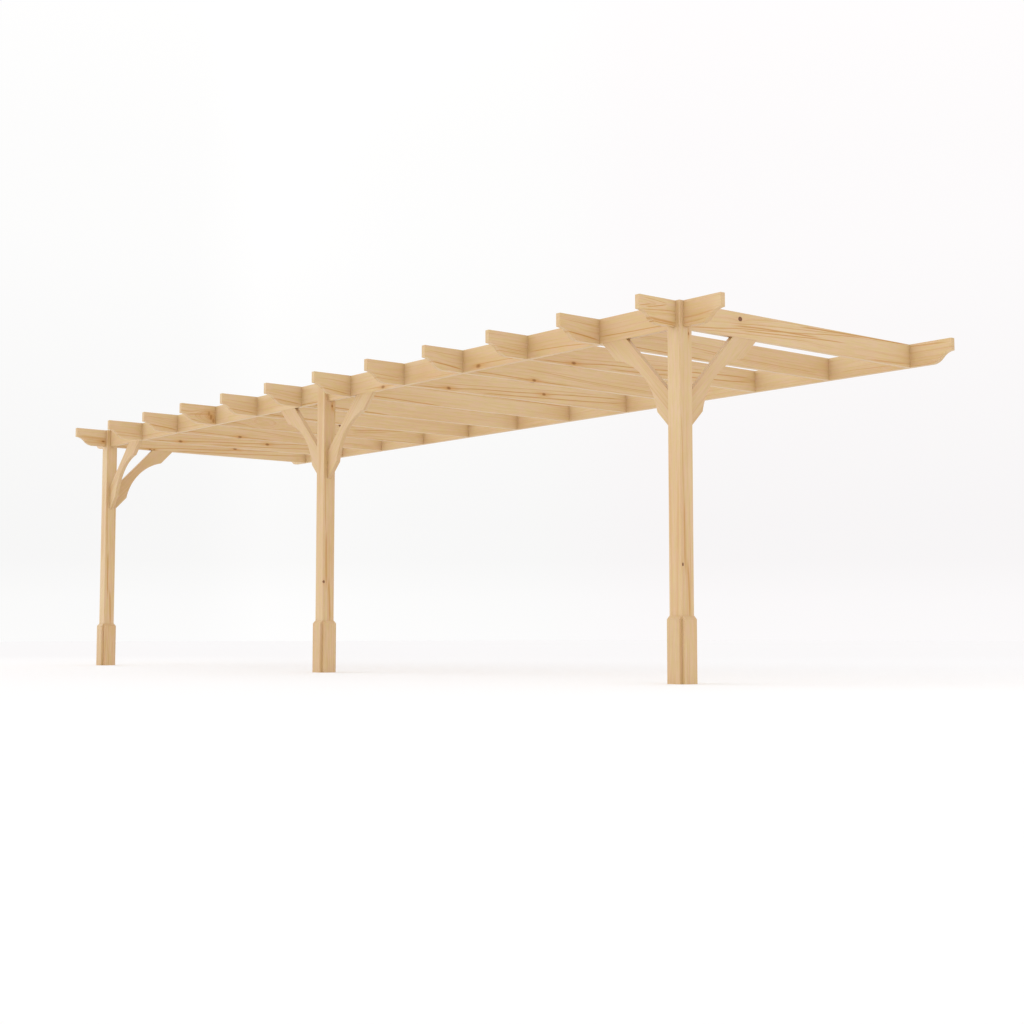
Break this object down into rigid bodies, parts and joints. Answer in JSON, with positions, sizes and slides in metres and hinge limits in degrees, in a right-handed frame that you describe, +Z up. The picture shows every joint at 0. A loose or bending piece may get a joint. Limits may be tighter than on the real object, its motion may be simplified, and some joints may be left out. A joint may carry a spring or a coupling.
{
  "type": "lean-to pergola",
  "caption": "Wall-mounted garden pergola in pale softwood: square posts with curved braces and bevelled plinths carry a beam and rafters with shaped tails.",
  "frame": {"origin": "centre of the wall plate's back face, which goes against the wall", "axes": "+X along the wall, +Y into the wall, +Z up; the posts stand on the ground at Z = -2.0215 m"},
  "size_m": [7.798, 2.398, 2.095],
  "materials": {
    "beam_timber": "planed, untreated softwood",
    "rafter_timber": "planed, untreated softwood",
    "post_timber": "planed, untreated softwood",
    "brace_timber": "planed, untreated softwood",
    "plinth_timber": "planed, untreated softwood"
  },
  "bodies": {
    "root": {"front_beam": "beam_timber", "wall_plate": "beam_timber", "rafter_01": "rafter_timber", "rafter_02": "rafter_timber", "rafter_03": "rafter_timber", "rafter_04": "rafter_timber", "rafter_05": "rafter_timber", "rafter_06": "rafter_timber", "rafter_07": "rafter_timber", "rafter_08": "rafter_timber", "rafter_09": "rafter_timber", "rafter_10": "rafter_timber", "rafter_11": "rafter_timber", "rafter_12": "rafter_timber", "post_left": "post_timber", "post_middle": "post_timber", "post_right": "post_timber", "brace_left_beam": "brace_timber", "brace_left_rafter": "brace_timber", "brace_middle_left": "brace_timber", "brace_middle_right": "brace_timber", "brace_right_beam": "brace_timber", "brace_right_rafter": "brace_timber", "plinth_left_front": "plinth_timber", "plinth_left_back": "plinth_timber", "plinth_left_left": "plinth_timber", "plinth_left_right": "plinth_timber", "plinth_middle_front": "plinth_timber", "plinth_middle_back": "plinth_timber", "plinth_middle_left": "plinth_timber", "plinth_middle_right": "plinth_timber", "plinth_right_front": "plinth_timber", "plinth_right_back": "plinth_timber", "plinth_right_left": "plinth_timber", "plinth_right_right": "plinth_timber"}
  },
  "joints": []
}
